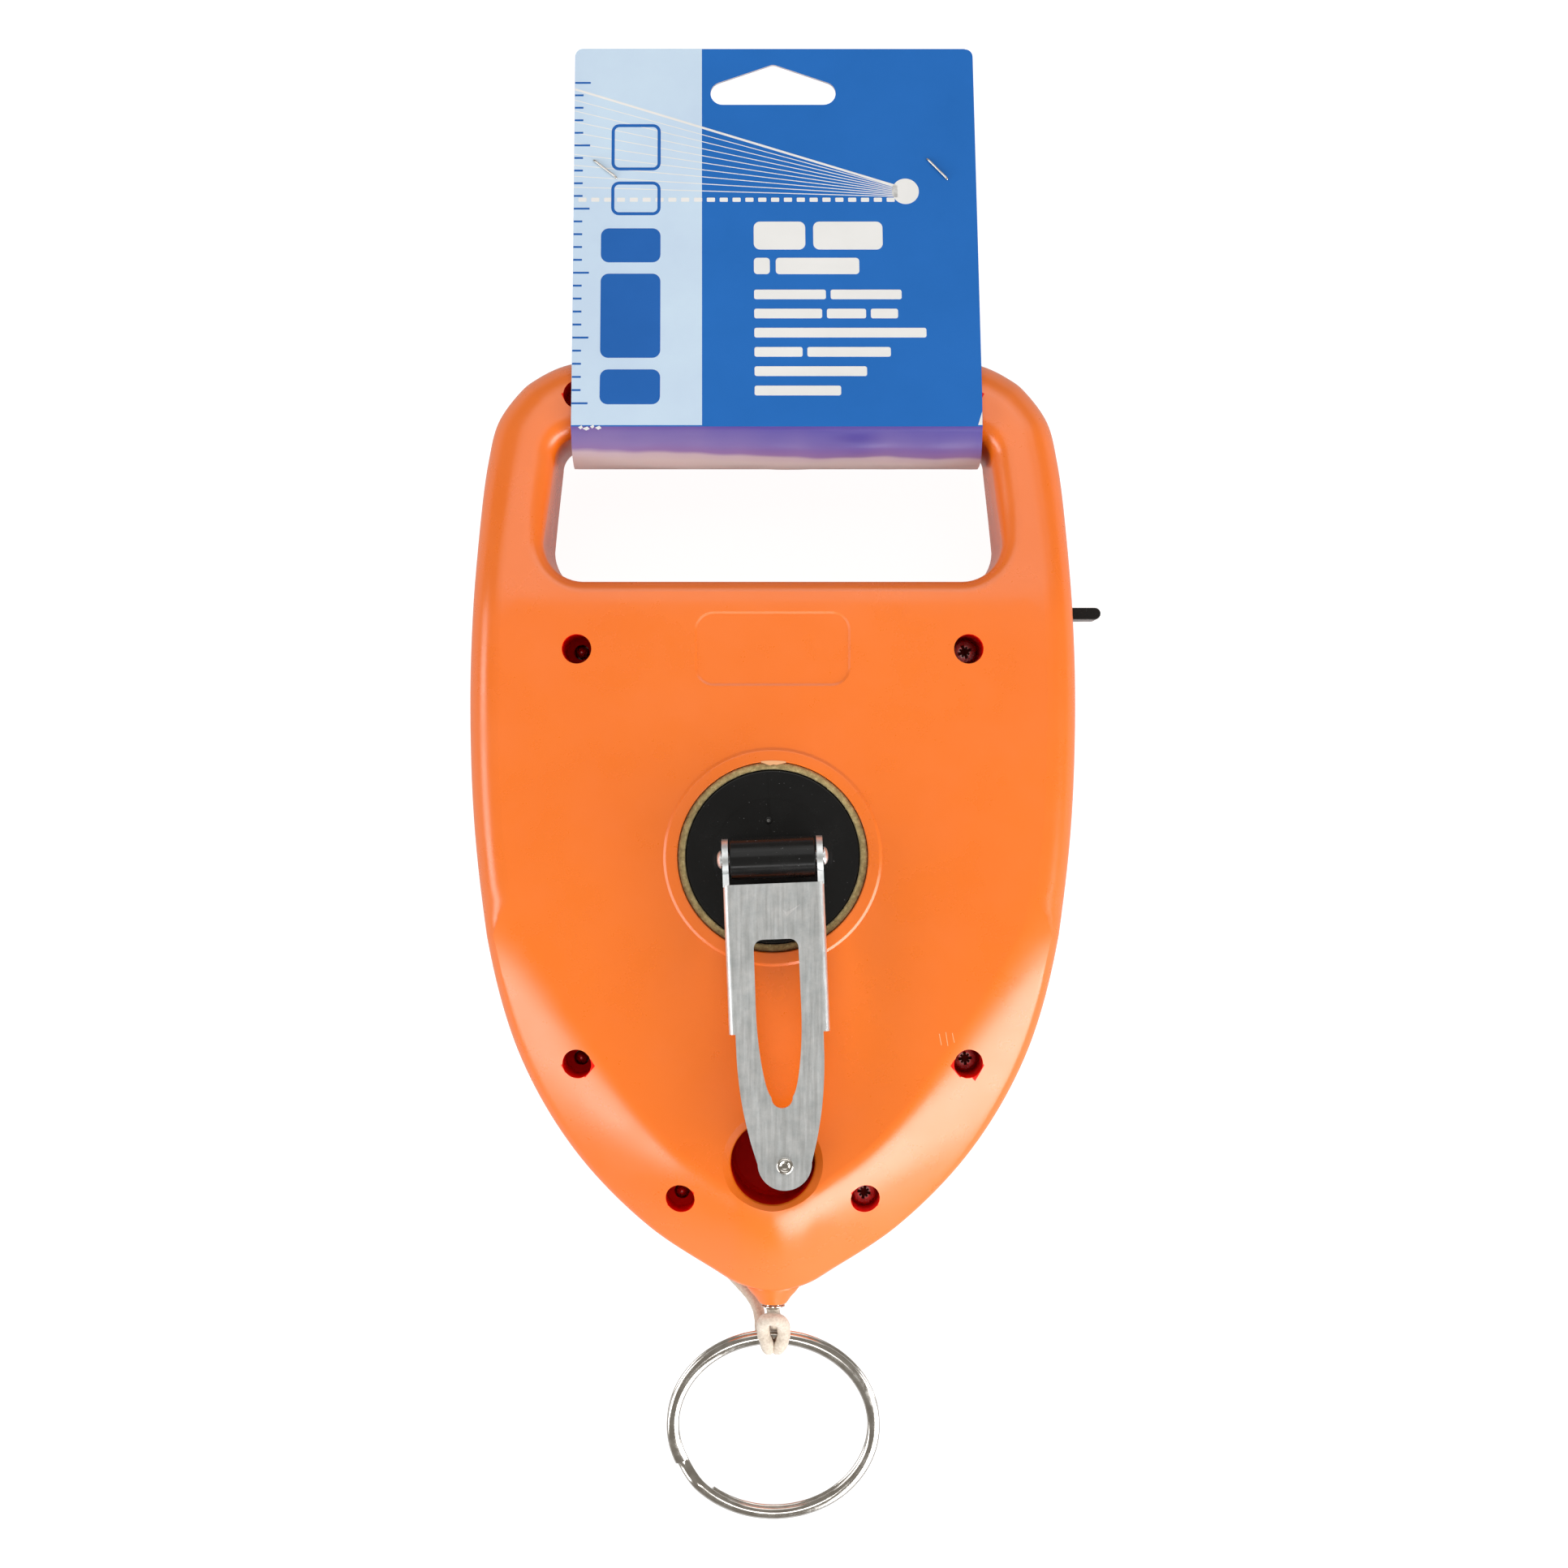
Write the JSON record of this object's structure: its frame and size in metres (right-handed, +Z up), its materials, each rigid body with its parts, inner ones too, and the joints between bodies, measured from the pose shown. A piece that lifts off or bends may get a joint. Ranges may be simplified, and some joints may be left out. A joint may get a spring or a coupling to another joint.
{
  "type": "chalk line reel",
  "caption": "Hand-cranked chalk line reel: moulded clamshell case with a D handle, folding steel crank, sliding filler gate, nozzle, line hitched to a split ring, and a folded hang card.",
  "frame": {"origin": "under the middle of the reel with its hang card, the line's end and its ring left out, on the surface that the reel lies on", "axes": "+X to the side where the filler gate's tab comes out, +Y from the nozzle to the D handle and the hang card, +Z up from the reel's back to the crank"},
  "size_m": [0.1592, 0.3816, 0.0669],
  "materials": {
    "orange_plastic": "moulded ABS, satin to glossy, with a fine grain",
    "black_plastic": "black moulded plastic, glossy, dusty",
    "natural_plastic": "undyed moulded plastic",
    "zinc_steel": "bright zinc plating on pressed steel",
    "bright_steel": "bright nickel plating",
    "khaki_felt": "pressed felt",
    "white_cotton": "braided cotton line",
    "blue_card": "printed and varnished card, pale blue band on the left, white inside"
  },
  "bodies": {
    "case": {"front_shell": "orange_plastic", "rear_shell": "orange_plastic", "case_screw_1": "zinc_steel", "case_screw_2": "zinc_steel", "case_screw_3": "zinc_steel", "case_screw_4": "zinc_steel", "case_screw_5": "zinc_steel", "case_screw_6": "zinc_steel", "case_screw_7": "zinc_steel", "case_screw_8": "zinc_steel", "front_hub_seal": "khaki_felt", "rear_hub_seal": "khaki_felt", "nozzle_eyelet": "bright_steel", "felt_wiper": "khaki_felt", "line_run": "white_cotton", "line_knot": "white_cotton", "line_tail": "white_cotton", "hang_card": "blue_card", "staple_left": "bright_steel", "staple_right": "bright_steel"},
    "spool": {"spool_drum": "natural_plastic", "line_winding": "white_cotton", "crank_hub": "black_plastic", "rear_hub": "black_plastic"},
    "crank": {"crank_arm": "zinc_steel", "hinge_pin": "bright_steel", "knob_rivet": "bright_steel"},
    "knob": {"crank_knob": "black_plastic"},
    "gate": {"filler_gate": "black_plastic"},
    "ring": {"split_ring": "bright_steel"}
  },
  "joints": [
    {"name": "spool_spin", "type": "hinge", "parent": "case", "child": "spool", "pos_m": [-0.00332, -0.0459, 0.027], "axis": [0, 0, 1], "range_deg": [-5, 0.5]},
    {"name": "crank_fold", "type": "hinge", "parent": "spool", "child": "crank", "pos_m": [-0.00332, -0.0459, 0.0605], "axis": [-0.9992, -0.0401, 0], "range_deg": [0, 180]},
    {"name": "knob_spin", "type": "hinge", "parent": "crank", "child": "knob", "pos_m": [-0.00031, -0.12064, 0.051], "axis": [0, 0, 1], "continuous": true},
    {"name": "gate_slide", "type": "slide", "parent": "case", "child": "gate", "axis": [1, 0, 0], "range_m": [0, 0.03]},
    {"name": "ring_swing", "type": "hinge", "parent": "case", "child": "ring", "pos_m": [-0.00332, -0.1699, 0.01987], "axis": [-1, 0, 0], "range_deg": [-59, 121]}
  ]
}
